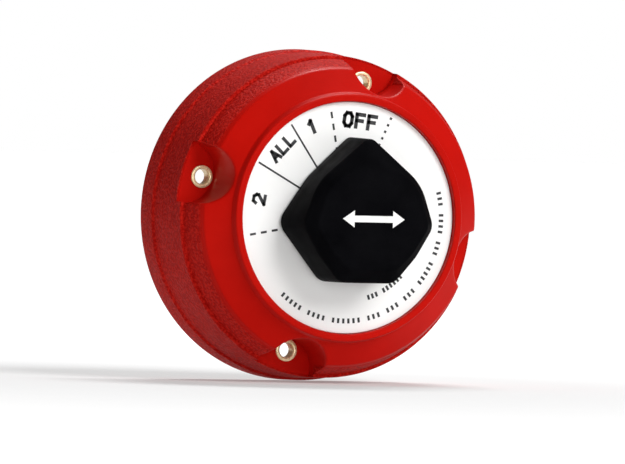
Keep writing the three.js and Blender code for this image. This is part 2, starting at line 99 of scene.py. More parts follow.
def place(x, y, z):
    """Switch coordinates (x right, y up, z out of the bulkhead, mm) to the scene's frame in metres."""
    return Vector((x * MM, -z * MM, y * MM))


def polar(radius, angle):
    return (radius * math.cos(math.radians(angle)), radius * math.sin(math.radians(angle)))


def closed_mesh(bm, name):
    """Turns a bmesh into a mesh with its seams joined and its faces outward."""
    bmesh.ops.remove_doubles(bm, verts=bm.verts, dist=1.5e-6)
    bmesh.ops.dissolve_degenerate(bm, edges=bm.edges, dist=1e-6)
    bmesh.ops.recalc_face_normals(bm, faces=bm.faces)
    if bm.calc_volume(signed=True) < 0:
        bmesh.ops.reverse_faces(bm, faces=bm.faces)
    mesh = bpy.data.meshes.new(name)
    bm.to_mesh(mesh)
    bm.free()
    return mesh


def to_object(name, bm, material, body, replaced=(), smooth_angle=32):
    return dress(name, closed_mesh(bm, name), material, body, replaced, smooth_angle)


def dress(name, mesh, material, body, replaced=(), smooth_angle=32):
    """Makes the mesh a piece: smooth shading with sharp creases, its material and body, and the CAD nodes it
    replaces hidden.
    """
    mesh.polygons.foreach_set("use_smooth", [True] * len(mesh.polygons))
    mesh.set_sharp_from_angle(angle=math.radians(smooth_angle))
    obj = bpy.data.objects.new(name, mesh)
    bpy.context.scene.collection.objects.link(obj)
    obj.data.materials.append(material)
    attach(obj, body)
    if replaced:
        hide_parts(*replaced)
    return obj


def bare_object(bm, name="cutter"):
    obj = bpy.data.objects.new(name, closed_mesh(bm, name))
    bpy.context.scene.collection.objects.link(obj)
    return obj


def boolean(obj, cutter, operation="DIFFERENCE"):
    """Applies one exact boolean and removes the cutter."""
    modifier = obj.modifiers.new("cut", "BOOLEAN")
    modifier.operation = operation
    modifier.solver = "EXACT"
    modifier.object = cutter
    bpy.context.view_layer.update()
    graph = bpy.context.evaluated_depsgraph_get()
    mesh = bpy.data.meshes.new_from_object(obj.evaluated_get(graph))
    obj.modifiers.remove(modifier)
    old = obj.data
    obj.data = mesh
    bpy.data.meshes.remove(old)
    bpy.data.objects.remove(cutter)
    return obj


def take_mesh(obj):
    """The object's mesh, with the object itself removed."""
    mesh = obj.data
    bpy.data.objects.remove(obj)
    return mesh


def add_grid(bm, rows, closed=False):
    """Quads between rows of points; each row has the same number of points."""
    made = [[bm.verts.new(point) for point in row] for row in rows]
    for low, high in zip(made, made[1:]):
        count = len(low)
        for j in range(count if closed else count - 1):
            k = (j + 1) % count
            bm.faces.new((low[j], low[k], high[k], high[j]))
    return made


def round_profile(points, radii, step=15):
    """Rounds the corners of an open polyline [(r, z), ...]; radii is one radius per inner corner."""
    out = [points[0]]
    for i in range(1, len(points) - 1):
        before, here, after = (Vector(p) for p in points[i - 1:i + 2])
        to_before, to_after = (before - here), (after - here)
        u, v = to_before.normalized(), to_after.normalized()
        turn = math.acos(max(-1, min(1, u.dot(v))))
        radius = radii[i - 1]
        if radius <= 0 or turn > math.radians(178):
            out.append(tuple(here))
            continue
        reach = min(radius / math.tan(turn / 2), to_before.length * 0.49, to_after.length * 0.49)
        radius = reach * math.tan(turn / 2)
        centre = here + (u + v).normalized() * (radius / math.sin(turn / 2))
        start, end = here + u * reach - centre, here + v * reach - centre
        sweep = start.angle(end)
        count = max(2, math.ceil(math.degrees(sweep) / step))
        for k in range(count + 1):
            t = k / count
            blend = (start * math.sin((1 - t) * sweep) + end * math.sin(t * sweep)) / math.sin(sweep)
            out.append(tuple(centre + blend))
    out.append(points[-1])
    return out


def revolved(profile, columns=64, centre=(0, 0), mapping=None):
    """A bmesh turned round the axis through centre, or placed by mapping(across, across, along)."""
    if mapping is None:
        def mapping(a, b, z):
            return place(centre[0] + a, centre[1] + b, z)
    bm = bmesh.new()
    rows = [[mapping(*polar(radius, 360 * j / columns), z) for j in range(columns)] for radius, z in profile]
    add_grid(bm, rows, closed=True)
    return bm


def cylinder(radius, z0, z1, columns=64, centre=(0, 0), mapping=None):
    return revolved([(0, z0), (radius, z0), (radius, z1), (0, z1)], columns, centre, mapping)


def rod_down(radius, start, end, columns, x, z):
    """A rod that runs down (-y) from start to end below the axis, at the given x and z."""
    return cylinder(radius, start, end, columns, mapping=lambda a, b, h: place(x + a, -h, z + b))


def box(x0, x1, y0, y1, z0, z1):
    return extruded([(x0, y0), (x1, y0), (x1, y1), (x0, y1)], z0, z1)


def extruded(outline, z0, z1):
    """A straight prism from a counter-clockwise outline [(x, y), ...]."""
    bm = bmesh.new()
    low = [bm.verts.new(place(x, y, z0)) for x, y in outline]
    high = [bm.verts.new(place(x, y, z1)) for x, y in outline]
    bm.faces.new(low[::-1])
    bm.faces.new(high)
    count = len(outline)
    for j in range(count):
        k = (j + 1) % count
        bm.faces.new((low[j], low[k], high[k], high[j]))
    return bm


# --- materials ------------------------------------------------------------------------------------------

class Shader:
    """A small wrapper for building a node material round one Principled shader."""

    def __init__(self, name, color, roughness, metallic=0.0):
        self.material = bpy.data.materials.new(name)
        self.material.use_nodes = True
        self.nodes = self.material.node_tree.nodes
        self.links = self.material.node_tree.links
        self.bsdf = self.nodes["Principled BSDF"]
        self.bsdf.inputs["Base Color"].default_value = (*color, 1)
        self.bsdf.inputs["Roughness"].default_value = roughness
        self.bsdf.inputs["Metallic"].default_value = metallic
        self.position = self.nodes.new("ShaderNodeTexCoord").outputs["Object"]

    def math(self, operation, a, b=None):
        node = self.nodes.new("ShaderNodeMath")
        node.operation = operation
        for socket, value in zip(node.inputs, (a, b)):
            if value is None:
                continue
            if isinstance(value, (int, float)):
                socket.default_value = value
            else:
                self.links.new(value, socket)
        return node.outputs[0]

    def noise(self, scale, detail=4, stretch=(1, 1, 1), roughness=0.55):
        mapping = self.nodes.new("ShaderNodeMapping")
        mapping.inputs["Scale"].default_value = stretch
        self.links.new(self.position, mapping.inputs["Vector"])
        node = self.nodes.new("ShaderNodeTexNoise")
        node.inputs["Scale"].default_value = scale
        node.inputs["Detail"].default_value = detail
        node.inputs["Roughness"].default_value = roughness
        self.links.new(mapping.outputs[0], node.inputs["Vector"])
        return node.outputs["Fac"]

    def spots(self, scale):
        node = self.nodes.new("ShaderNodeTexVoronoi")
        node.inputs["Scale"].default_value = scale
        self.links.new(self.position, node.inputs["Vector"])
        return node.outputs["Distance"]

    def remap(self, value, low, high, to_low, to_high):
        node = self.nodes.new("ShaderNodeMapRange")
        node.inputs["From Min"].default_value = low
        node.inputs["From Max"].default_value = high
        node.inputs["To Min"].default_value = to_low
        node.inputs["To Max"].default_value = to_high
        self.links.new(value, node.inputs["Value"])
        return node.outputs["Result"]

    def ramp(self, value, stops):
        node = self.nodes.new("ShaderNodeValToRGB")
        elements = node.color_ramp.elements
        while len(elements) < len(stops):
            elements.new(0.5)
        for element, (at, color) in zip(elements, stops):
            element.position = at
            element.color = (*color, 1)
        self.links.new(value, node.inputs["Fac"])
        return node.outputs["Color"]

    def mix(self, factor, a, b):
        node = self.nodes.new("ShaderNodeMix")
        node.data_type = "RGBA"
        for socket, value in ((node.inputs[0], factor), (node.inputs[6], a), (node.inputs[7], b)):
            if isinstance(value, (int, float)):
                socket.default_value = value
            elif isinstance(value, tuple):
                socket.default_value = (*value, 1)
            else:
                self.links.new(value, socket)
        return node.outputs[2]

    def color(self, value):
        self.links.new(value, self.bsdf.inputs["Base Color"])

    def roughness(self, value):
        self.links.new(value, self.bsdf.inputs["Roughness"])

    def bump(self, *layers):
        """layers are (height, strength, distance in metres), from the coarsest to the finest."""
        normal = None
        for height, strength, distance in layers:
            node = self.nodes.new("ShaderNodeBump")
            node.inputs["Strength"].default_value = strength
            node.inputs["Distance"].default_value = distance
            self.links.new(height, node.inputs["Height"])
            if normal is not None:
                self.links.new(normal, node.inputs["Normal"])
            normal = node.outputs["Normal"]
        self.links.new(normal, self.bsdf.inputs["Normal"])

    def depth(self):
        """Distance out of the bulkhead, in metres."""
        node = self.nodes.new("ShaderNodeSeparateXYZ")
        self.links.new(self.position, node.inputs[0])
        return self.math("MULTIPLY", node.outputs["Y"], -1.0)

    def axis_distance(self):
        """Distance from the selector's axis, in metres."""
        across = self.nodes.new("ShaderNodeVectorMath")
        across.operation = "MULTIPLY"
        across.inputs[1].default_value = (1, 0, 1)
        self.links.new(self.position, across.inputs[0])
        length = self.nodes.new("ShaderNodeVectorMath")
        length.operation = "LENGTH"
        self.links.new(across.outputs["Vector"], length.inputs[0])
        return length.outputs["Value"]


def red_plastic():
    """Glossy on the front; the drum wall and the band above it have a coarse moulded grain, and a painted
    shade that deepens their red.
    """
    s = Shader("red_moulded_plastic", (0.42, 0.004, 0.002), 0.38)
    s.bsdf.inputs["Specular IOR Level"].default_value = 0.10
    s.bsdf.inputs["Specular Tint"].default_value = (1.0, 0.32, 0.26, 1)
    color = s.ramp(s.noise(38, 5), [(0.25, (0.42, 0.004, 0.002)), (0.75, (0.52, 0.006, 0.003))])
    drum = s.remap(s.axis_distance(), 0.0640, 0.0647, 0.0, 1.0)
    above_ledge = s.remap(s.depth(), 0.0346, 0.0352, 0.0, 1.0)
    band = s.math("MULTIPLY", s.remap(s.axis_distance(), 0.0600, 0.0607, 0.0, 1.0), above_ledge)
    wall = s.math("MAXIMUM", drum, band)
    grain = s.noise(900, 2)
    speck = s.math("MULTIPLY", s.remap(grain, 0.46, 0.58, 0.0, 1.0), wall)
    # Painted shade: the drum wall and the band are mixed 40% towards a deep red, standing in for the shade
    # that falls on these side faces; the lighter specks below are the moulded grain.
    painted_wall_shade = s.mix(s.math("MULTIPLY", wall, 0.40), color, (0.20, 0.002, 0.002))
    s.color(s.mix(s.math("MULTIPLY", speck, 0.6), painted_wall_shade, (0.62, 0.020, 0.012)))
    gloss = s.remap(s.noise(120, 4), 0.3, 0.7, 0.32, 0.42)
    s.roughness(s.math("ADD", gloss, s.math("MULTIPLY", wall, 0.22)))
    s.bump((s.noise(55, 3), 0.08, 0.0005), (s.math("MULTIPLY", grain, wall), 0.8, 0.0008),
           (s.noise(1500, 3), 0.04, 0.0002))
    return s.material


def black_plastic(name, color, roughness, grain, sheen):
    s = Shader(name, color, roughness)
    s.bsdf.inputs["Specular IOR Level"].default_value = sheen
    s.bsdf.inputs["Specular Tint"].default_value = (0.12, 0.12, 0.13, 1)
    tone = s.noise(60, 5)
    lighter = tuple(c * 1.8 + 0.001 for c in color)
    s.color(s.ramp(tone, [(0.3, color), (0.75, lighter)]))
    s.roughness(s.remap(s.noise(200, 4), 0.3, 0.7, roughness - 0.05, roughness + 0.07))
    s.bump((s.noise(90, 3), 0.08, 0.0005), (s.spots(grain), 0.12, 0.00015))
    return s.material


def white_plastic():
    s = Shader("dial_white_plastic", (0.92, 0.92, 0.91), 0.34)
    s.color(s.ramp(s.noise(26, 4), [(0.3, (0.90, 0.90, 0.885)), (0.7, (0.94, 0.94, 0.93))]))
    s.roughness(s.remap(s.noise(150, 4), 0.3, 0.7, 0.30, 0.42))
    s.bump((s.noise(70, 3), 0.05, 0.0003))
    return s.material


def print_ink():
    s = Shader("black_print_ink", (0.015, 0.015, 0.017), 0.5)
    s.color(s.ramp(s.noise(900, 3), [(0.35, (0.010, 0.010, 0.012)), (0.7, (0.035, 0.035, 0.038))]))
    s.roughness(s.remap(s.noise(500, 3), 0.3, 0.7, 0.42, 0.60))
    s.bump((s.noise(1800, 2), 0.1, 0.00005))
    return s.material


def mark_paint():
    s = Shader("white_mark_paint", (0.85, 0.85, 0.83), 0.42)
    s.color(s.ramp(s.noise(300, 4), [(0.3, (0.78, 0.78, 0.76)), (0.7, (0.90, 0.90, 0.88))]))
    s.roughness(s.remap(s.noise(400, 3), 0.3, 0.7, 0.36, 0.5))
    s.bump((s.noise(900, 3), 0.12, 0.0001))
    return s.material


def metal(name, color, roughness, tarnish, streak=(1, 1, 1), metallic=1.0):
    s = Shader(name, color, roughness, metallic)
    patina = s.noise(140, 6, roughness=0.65)
    s.color(s.ramp(patina, [(0.35, tarnish), (0.62, color)]))
    s.roughness(s.remap(s.noise(500, 5, streak), 0.3, 0.7, roughness - 0.06, roughness + 0.14))
    s.bump((s.noise(700, 4, streak), 0.10, 0.0001), (s.noise(180, 3), 0.06, 0.0002))
    return s.material


def rubber():
    s = Shader("seal_rubber", (0.02, 0.02, 0.02), 0.75)
    s.color(s.ramp(s.noise(200, 4), [(0.3, (0.014, 0.014, 0.014)), (0.7, (0.03, 0.03, 0.03))]))
    s.bump((s.noise(900, 3), 0.1, 0.0001))
    return s.material


RED = red_plastic()
KNOB_BLACK = black_plastic("knob_black_plastic", (0.002, 0.002, 0.0025), 0.45, 1400, 0.008)
PHENOLIC = black_plastic("phenolic_moulding", (0.022, 0.018, 0.016), 0.46, 1100, 0.2)
WHITE = white_plastic()
INK = print_ink()
MARK = mark_paint()
BRASS = metal("brass", (0.83, 0.66, 0.34), 0.26, (0.66, 0.49, 0.22))
EYELET_BRASS = metal("eyelet_brass", (0.96, 0.84, 0.54), 0.26, (0.82, 0.67, 0.36), metallic=0.45)
COPPER = metal("contact_copper", (0.76, 0.42, 0.28), 0.30, (0.50, 0.25, 0.16))
STEEL = metal("plated_steel", (0.66, 0.67, 0.69), 0.28, (0.50, 0.50, 0.51), (1, 1, 6))
RUBBER = rubber()


# --- case -----------------------------------------------------------------------------------------------

QUADRANT_COLUMNS = 48
POCKET_COLUMNS = 14
EDGE_ROUND = 0.8        # rounding of the pockets' front edge
POCKET_OUTER = 63.4     # radius of the upper body's foot on the ledge
CASE_WALL = 3.2
PILLAR_RADIUS = 4.6
BASE_THICKNESS = 6.0
REACH = 80              # depth past the case's front, for a cutter that runs right through
CASE_DRUM = round_profile(
    [(0, 0), (REAR_RADIUS, 0), (REAR_RADIUS - 0.2, 10.8), (REAR_RADIUS - 1.1, 11.7), (64.8, LEDGE_Z),
     (POCKET_OUTER, LEDGE_Z)],
    [0.5, 0.5, 0.5, 0.7], 15)
CASE_UPPER = round_profile(
    [(POCKET_OUTER, LEDGE_Z), (61.5, 42.6), (59.6, 47.2), (50.2, 53.3), (49.5, LIP_TOP), (46.6, LIP_TOP),
     (46.6, DIAL_FLOOR), (0, DIAL_FLOOR)],
    [8.0, 2.4, 0.9, 0.9, 0.6, 0.0], 9)


def case_height(radius):
    """Height of the upper body's surface at a radius outside the lip."""
    for (r0, z0), (r1, z1) in zip(CASE_UPPER, CASE_UPPER[1:]):
        if r1 <= radius <= r0:
            return z0 + (z1 - z0) * (r0 - radius) / max(r0 - r1, 1e-9)
    return LEDGE_Z


def pocket_direction(radius, rho):
    """Angle at the pocket's centre, from straight out, of the point at that radius from the switch axis."""
    cosine = (radius ** 2 - POCKET_CENTRE ** 2 - rho ** 2) / (2 * POCKET_CENTRE * rho)
    return math.acos(max(-1, min(1, cosine)))


def pocket_point(rho, direction):
    """(radius, angle in degrees) from the switch axis of a point round a pocket's centre."""
    x = POCKET_CENTRE + rho * math.cos(direction)
    y = rho * math.sin(direction)
    return math.hypot(x, y), math.degrees(math.atan2(y, x))


def case_solid():
    """The case's outside, in four quadrants that each hold one screw pocket."""
    bm = bmesh.new()
    rim = POCKET_RADIUS + EDGE_ROUND
    inner = POCKET_CENTRE - rim
    start = pocket_direction(POCKET_OUTER, rim)
    directions = [start + (math.pi - start) * i / 30 for i in range(31)]
    radii = {round(pocket_point(rim, d)[0], 5) for d in directions}
    radii |= {round(r, 5) for r, _ in CASE_UPPER if inner < r < POCKET_OUTER}
    radii = sorted(radii | {round(inner, 5), POCKET_OUTER}, reverse=True)
    radii = [r for i, r in enumerate(radii) if i == 0 or radii[i - 1] - r > 0.02]
    radii[-1] = inner
    half = {r: pocket_point(rim, pocket_direction(r, rim))[1] if r > inner else 0.0 for r in radii}

    def column_angles(margin):
        return [margin + (90 - 2 * margin) * j / QUADRANT_COLUMNS for j in range(QUADRANT_COLUMNS + 1)]

    foot = half[radii[0]]
    for k in range(4):
        hole = FIRST_HOLE + 90 * k
        rows = []
        for radius in radii:
            z = case_height(radius)
            rows.append([place(*polar(radius, hole + a), z) for a in column_angles(half[radius])])
        add_grid(bm, rows)
        tail = [(r, z) for r, z in CASE_UPPER if r < inner - 0.02 or z > 54]
        rows = [[place(*polar(r, hole + a), z) for a in column_angles(0)]
                for r, z in [(inner, case_height(inner))] + tail]
        add_grid(bm, rows)
        around = column_angles(foot) + [
            90 - foot + 2 * foot * j / POCKET_COLUMNS for j in range(1, POCKET_COLUMNS + 1)]
        add_grid(bm, [[place(*polar(r, hole + a), z) for a in around] for r, z in CASE_DRUM])
        add_pocket(bm, hole, radii, rim, foot)
    bmesh.ops.remove_doubles(bm, verts=bm.verts, dist=2e-6)
    bmesh.ops.dissolve_degenerate(bm, edges=bm.edges, dist=1e-6)
    return bm


def add_pocket(bm, hole, radii, rim, foot):
    """The rounded edge and the wall of one screw pocket, down to the ledge."""
    steps = 5
    wall_rows = 6
    feet = {}
    for side in (1, -1):
        rows = []
        for radius in radii:
            direction = pocket_direction(radius, rim) if radius > POCKET_CENTRE - rim else math.pi
            line = []
            for i in range(steps + 1):
                swing = math.pi / 2 * i / steps
                rho = rim - EDGE_ROUND * math.sin(swing)
                r, angle = pocket_point(rho, direction)
                drop = EDGE_ROUND * (1 - math.cos(swing))
                surface = case_height(min(max(r, POCKET_CENTRE - rim), POCKET_OUTER))
                line.append((r, angle * side, max(LEDGE_Z, surface - drop)))
            r, angle, top = line[-1]
            for i in range(1, wall_rows + 1):
                line.append((r, angle, top + (LEDGE_Z - top) * i / wall_rows))
            rows.append([place(*polar(r, hole + a), z) for r, a, z in line])
        add_grid(bm, rows)
        feet[side] = rows[0] + [row[-1] for row in rows[1:]]
    outer = [place(*polar(POCKET_OUTER, hole - foot + 2 * foot * j / POCKET_COLUMNS), LEDGE_Z)
             for j in range(POCKET_COLUMNS + 1)]
    loop = outer + feet[1][1:] + feet[-1][::-1][1:-1]
    clean = []
    for point in loop:
        if not clean or (point - clean[-1]).length > 3e-6:
            clean.append(point)
    if (clean[0] - clean[-1]).length < 3e-6:
        clean.pop()
    bm.faces.new([bm.verts.new(point) for point in clean])


def case_cavity():
    """The hollow inside the case: the room behind the front wall, less the bosses that stand in it."""
    profile = round_profile(
        [(0, -2), (63.7, -2), (61.6, 33.5), (57.2, 45.0), (48.0, 49.6), (0, 49.6)], [0, 1.5, 2, 1.5], 20)
    cavity = bare_object(revolved(profile, 128))
    for k in range(4):
        centre = polar(POCKET_CENTRE, FIRST_HOLE + 90 * k)
        boss = cylinder(POCKET_RADIUS + CASE_WALL, SEAT_Z - POCKET_WEB, REACH, 72, centre)
        boolean(cavity, bare_object(boss))
    pillar_foot = node_box("base_plate")[0].z + BASE_THICKNESS + 0.3
    for node in BASE_SCREWS:
        boolean(cavity, bare_object(cylinder(PILLAR_RADIUS, pillar_foot, REACH, 40, centre_of(node))))
    return cavity


def make_case():
    """The outside, less the hollow, the pockets' deeper floors, the eyelet bores and the bush hole."""
    obj = bare_object(case_solid(), "case_work")
    boolean(obj, case_cavity())
    for k in range(4):
        hole = FIRST_HOLE + 90 * k
        deeper = cylinder(POCKET_RADIUS - 0.01, SEAT_Z, LEDGE_Z + 0.4, 112, polar(POCKET_CENTRE, hole))
        boolean(obj, bare_object(deeper))
        bore = cylinder(EYELET_BARREL + 0.1, 20, 60, 48, polar(HOLE_CIRCLE, hole))
        boolean(obj, bare_object(bore))
    boolean(obj, bare_object(cylinder(BUSH_BORE, 45, 60, 64)))
    return dress("case_shell", take_mesh(obj), RED, HOUSING, ("case",))


# --- eyelets --------------------------------------------------------------------------------------------

def make_eyelet(name, k):
    """A rolled ring on the pocket's floor, its barrel through the floor and a flare behind it."""
    rear = SEAT_Z - POCKET_WEB
    profile = round_profile(
        [(EYELET_BORE, SEAT_Z - 2), (EYELET_BORE, SEAT_Z + 0.95), (EYELET_FLANGE, SEAT_Z + 0.75),
         (EYELET_FLANGE, SEAT_Z + 0.02), (EYELET_BARREL, SEAT_Z + 0.02), (EYELET_BARREL, rear - 0.02),
         (EYELET_FLANGE - 0.1, rear - 0.3), (EYELET_BORE, rear - 0.75), (EYELET_BORE, SEAT_Z - 2)],
        [0.75, 0.4, 0.05, 0, 0, 0.2, 0.35], 15)
    bm = revolved(profile, 56, polar(HOLE_CIRCLE, FIRST_HOLE + 90 * k))
    return to_object(f"eyelet_ring_{name}", bm, EYELET_BRASS, HOUSING, (f"eyelet_{name}",), 60)


# --- dial -----------------------------------------------------------------------------------------------

INK_HEIGHT = 0.05
DASH = (2.6, 2.2, 0.9)  # length, gap and width
DOT = (1.0, 1.9, 1.0)
TICK_STEP = 3.1         # degrees
TICK_HALF = 1.0
TICK_ARCS = [(41.4, 139, 280), (33.4, 198, 219)]    # radius, first and last angle from OFF
# Angle from OFF and kind of each line between the positions
DIAL_LINES = [(-24.4, "dotted"), (10.9, "dashed"), (34.7, "solid"), (61.4, "solid"), (100.1, "dashed")]


def make_dial():
    bore, rim = BUSH_BORE + 0.05, DIAL_RADIUS + 0.15
    profile = round_profile(
        [(bore, DIAL_BACK), (bore, DIAL_FRONT), (rim, DIAL_FRONT), (rim, DIAL_BACK), (bore, DIAL_BACK)],
        [0.15, 0.35, 0.1], 20)
    return to_object("dial_disc", revolved(profile, 160), WHITE, HOUSING, ("dial_plate",))


def ink_bar(bm, start, end, width):
    """Adds a flat printed bar between two points (x, y) on the dial."""
    a, b = Vector(start), Vector(end)
    side = (b - a).normalized().orthogonal() * width / 2
    corners = [a - side, b - side, b + side, a + side]
    low = [bm.verts.new(place(p.x, p.y, DIAL_FRONT - 0.02)) for p in corners]
    high = [bm.verts.new(place(p.x, p.y, DIAL_FRONT + INK_HEIGHT)) for p in corners]
    bm.faces.new(low[::-1])
    bm.faces.new(high)
    for j in range(4):
        k = (j + 1) % 4
        bm.faces.new((low[j], low[k], high[k], high[j]))


def at_dial(radius, from_off):
    """A point at an angle from the OFF line, counter-clockwise."""
    return polar(radius, 90 + from_off)


def make_dial_lines():
    bm = bmesh.new()
    for angle, kind in DIAL_LINES:
        if kind == "solid":
            ink_bar(bm, at_dial(24, angle), at_dial(44.8, angle), 0.75)
            continue
        length, gap, width = DASH if kind == "dashed" else DOT
        radius = 26.0
        while radius + length < 45.5:
            ink_bar(bm, at_dial(radius, angle), at_dial(radius + length, angle), width)
            radius += length + gap
    return to_object("dial_lines", bm, INK, HOUSING)


# Block letters on a unit square, as strokes between points (x, y)
GLYPHS = {
    "O": [[(0.25, 0), (0.75, 0), (1, 0.25), (1, 0.75), (0.75, 1),
           (0.25, 1), (0, 0.75), (0, 0.25), (0.25, 0)]],
    "F": [[(0, 0), (0, 1), (1, 1)], [(0, 0.52), (0.8, 0.52)]],
    "A": [[(0, 0), (0.5, 1), (1, 0)], [(0.2, 0.34), (0.8, 0.34)]],
    "L": [[(0, 1), (0, 0), (0.95, 0)]],
    "1": [[(0.2, 0.78), (0.55, 1), (0.55, 0)]],
    "2": [[(0, 0.76), (0.2, 1), (0.75, 1), (1, 0.78), (1, 0.6), (0, 0), (1, 0)]],
}


# Name, text, angle from OFF, radius, letter width and height, pitch and stroke of each label
DIAL_LABELS = [
    ("dial_word_off", "OFF", -6.8, 39.0, 3.3, 5.2, 5.3, 1.55),
    ("dial_word_one", "1", 24.4, 39.7, 3.2, 4.9, 5.0, 1.5),
    ("dial_word_all", "ALL", 46.8, 40.1, 2.9, 4.4, 4.4, 1.35),
    ("dial_word_two", "2", 80.2, 39.3, 3.4, 4.8, 5.0, 1.35),
]


def make_label(name, text, angle, radius, width, height, pitch, weight):
    """Letters set along the rim, reading from the left as seen from the rim's own angle."""
    bm = bmesh.new()
    turn = math.radians(angle)
    for i, letter in enumerate(text):
        shift = (i - (len(text) - 1) / 2) * pitch
        for stroke in GLYPHS[letter]:
            for start, end in zip(stroke, stroke[1:]):
                ends = []
                for x, y in (start, end):
                    u = shift + (x - 0.5) * width
                    v = radius + (y - 0.5) * height
                    ends.append(Vector((u * math.cos(turn) - v * math.sin(turn),
                                        u * math.sin(turn) + v * math.cos(turn))))
                along = (ends[1] - ends[0]).normalized() * weight * 0.42
                ink_bar(bm, ends[0] - along, ends[1] + along, weight)
    return to_object(name, bm, INK, HOUSING)


def make_dial_ticks():
    """Two arcs of plain ticks, in groups."""
    bm = bmesh.new()
    for radius, start, end in TICK_ARCS:
        angle = start
        while angle < end:
            for _ in range(random.randint(3, 6)):
                ink_bar(bm, at_dial(radius - TICK_HALF, angle), at_dial(radius + TICK_HALF, angle), 1.0)
                angle += TICK_STEP
            angle += TICK_STEP
    to_object("dial_ticks", bm, INK, HOUSING)


def make_dial_print():
    make_dial_lines()
    make_dial_ticks()
    for label in DIAL_LABELS:
        make_label(*label)


# --- knob -----------------------------------------------------------------------------------------------

KNOB_ANGLES = np.arange(0.75, 360, 1.5)
KNOB_EDGE = KNOB_FRONT - 4.5     # where the side ends and the bevel round the face starts
KNOB_WALL = 3.4
KNOB_CEILING = 4.0
KNOB_HUB = 10.0
SHAFT_BORE = 5.3
SET_SCREW_Z = 65.0
SET_SCREW_BORE = 2.8
# Outlines as the hull of circles (x, y, radius), mirrored in x
KNOB_REAR_OUTLINE = [(0, 28.8, 3.5), (2.0, 2.0, 21.7), (23.3, -2.0, 6.5), (9.3, -19.2, 6.5)]
KNOB_EDGE_OUTLINE = [
    (0, 28.2, 3.7), (4.0, 1.5, 21.8), (21.4, -2.0, 6.5), (6.0, -4.0, 18.7), (9.0, -19.4, 6.3)]
KNOB_FACE_OUTLINE = [
    (0, 20.3, 2.2), (3.6, 1.2, 18.6), (18.4, -2.0, 5.4), (5.4, -3.6, 15.4), (8.2, -15.4, 4.8)]


def outline_radii(circles, inset=0.0):
    """Distance from the axis to the hull of the circles, at each of the knob's columns."""
    normals = np.radians(np.arange(0, 360, 0.5))
    support = np.max([side * x * np.cos(normals) + y * np.sin(normals) + r - inset
                      for x, y, r in circles for side in (1, -1)], axis=0)
    facing = np.cos(normals[None, :] - np.radians(KNOB_ANGLES)[:, None])
    return np.where(facing > 0.1, support / np.maximum(facing, 0.1), np.inf).min(axis=1)


def make_knob():
    """A lofted, bevelled shell round a hub, bored for the shaft and the set screw."""
    rear = outline_radii(KNOB_REAR_OUTLINE)
    edge = outline_radii(KNOB_EDGE_OUTLINE)
    face = outline_radii(KNOB_FACE_OUTLINE)
    levels = [(0.12, KNOB_BACK), (0.03, KNOB_BACK + 0.15), (0.0, KNOB_BACK + 0.5), (0.0, KNOB_BACK + 7.0)]
    bevel = [(0, KNOB_BACK + 13), (0, KNOB_EDGE), (4, KNOB_FRONT), (5.5, KNOB_FRONT)]
    levels += [(x / 4, z) for x, z in round_profile(bevel, [3.2, 2.6], 8)]
    rows = []
    for inward, z in levels:
        blend = min(1, (z - KNOB_BACK) / (KNOB_EDGE - KNOB_BACK))
        radii = rear + (edge - rear) * blend + (face - edge) * inward
        rows.append([place(*polar(r, angle), z) for r, angle in zip(radii, KNOB_ANGLES)])
    bm = bmesh.new()
    made = add_grid(bm, rows, closed=True)
    bm.faces.new(made[0][::-1])
    bm.faces.new(made[-1])
    knob = bare_object(bm, "knob_work")
    inside = [polar(r, angle) for r, angle in zip(outline_radii(KNOB_REAR_OUTLINE, KNOB_WALL), KNOB_ANGLES)]
    hollow = bare_object(extruded(inside, KNOB_BACK - 1, KNOB_FRONT - KNOB_CEILING))
    boolean(hollow, bare_object(cylinder(KNOB_HUB, 0, 100, 48)))
    boolean(knob, hollow)
    boolean(knob, bare_object(cylinder(SHAFT_BORE, 0, node_box("shaft")[1].z + 0.3, 48)))
    boolean(knob, bare_object(rod_down(SET_SCREW_BORE, 4, 40, 32, 0, SET_SCREW_Z)))
    dress("knob_body", take_mesh(knob), KNOB_BLACK, SELECTOR, ("knob",), 34)


def make_mark():
    """A two-ended turn arrow on the knob's face."""
    tip, root, head, stem = 13.5, 8.4, 3.4, 1.3
    outline = [(-tip, 0), (-root, -head), (-root, -stem), (root, -stem), (root, -head),
               (tip, 0), (root, head), (root, stem), (-root, stem), (-root, head)]
    bm = extruded(outline, KNOB_FRONT - 0.4, KNOB_FRONT + 0.12)
    return to_object("knob_arrow", bm, MARK, SELECTOR, ("knob_mark",))


# --- base plate, terminals and screws --------------------------------------------------------------------

STUD_BORE = 5.1
BASE_SCREW_BORE = 2.35
PIVOT_BORE = 3.6
POST_X = (18, 26)        # sides of the detent spring's post
POST_Y = (-33.2, -25.5)
HEX_FLATS = 14.3
THREAD_RADIUS = 4.76
THREAD_PITCH = 1.5875    # 3/8 in, 16 to the inch
THREAD_DEPTH = 0.75


def make_base_plate():
    low, high = node_box("base_plate")
    back, front, radius = low.z, low.z + BASE_THICKNESS, high.x
    profile = round_profile([(0, back), (radius, back), (radius, front), (0, front)], [1.0, 0.5], 15)
    plate = bare_object(revolved(profile, 144), "base_work")
    boolean(plate, bare_object(box(*POST_X, *POST_Y, front - 1, high.z)), "UNION")
    boolean(plate, bare_object(cylinder(PIVOT_BORE, 0, 60, 48)))
    leaf_z = (node_box("detent_screw")[0].z + node_box("detent_screw")[1].z) / 2
    boolean(plate, bare_object(rod_down(1.7, 20, 33, 24, sum(POST_X) / 2, leaf_z)))
    for name in TERMINALS:
        boolean(plate, bare_object(cylinder(STUD_BORE, 0, 60, 48, centre_of(f"stud_{name}"))))
    for node in BASE_SCREWS:
        boolean(plate, bare_object(cylinder(BASE_SCREW_BORE, 0, 60, 32, centre_of(node))))
    dress("base_moulding", take_mesh(plate), PHENOLIC, HOUSING, ("base_plate",))


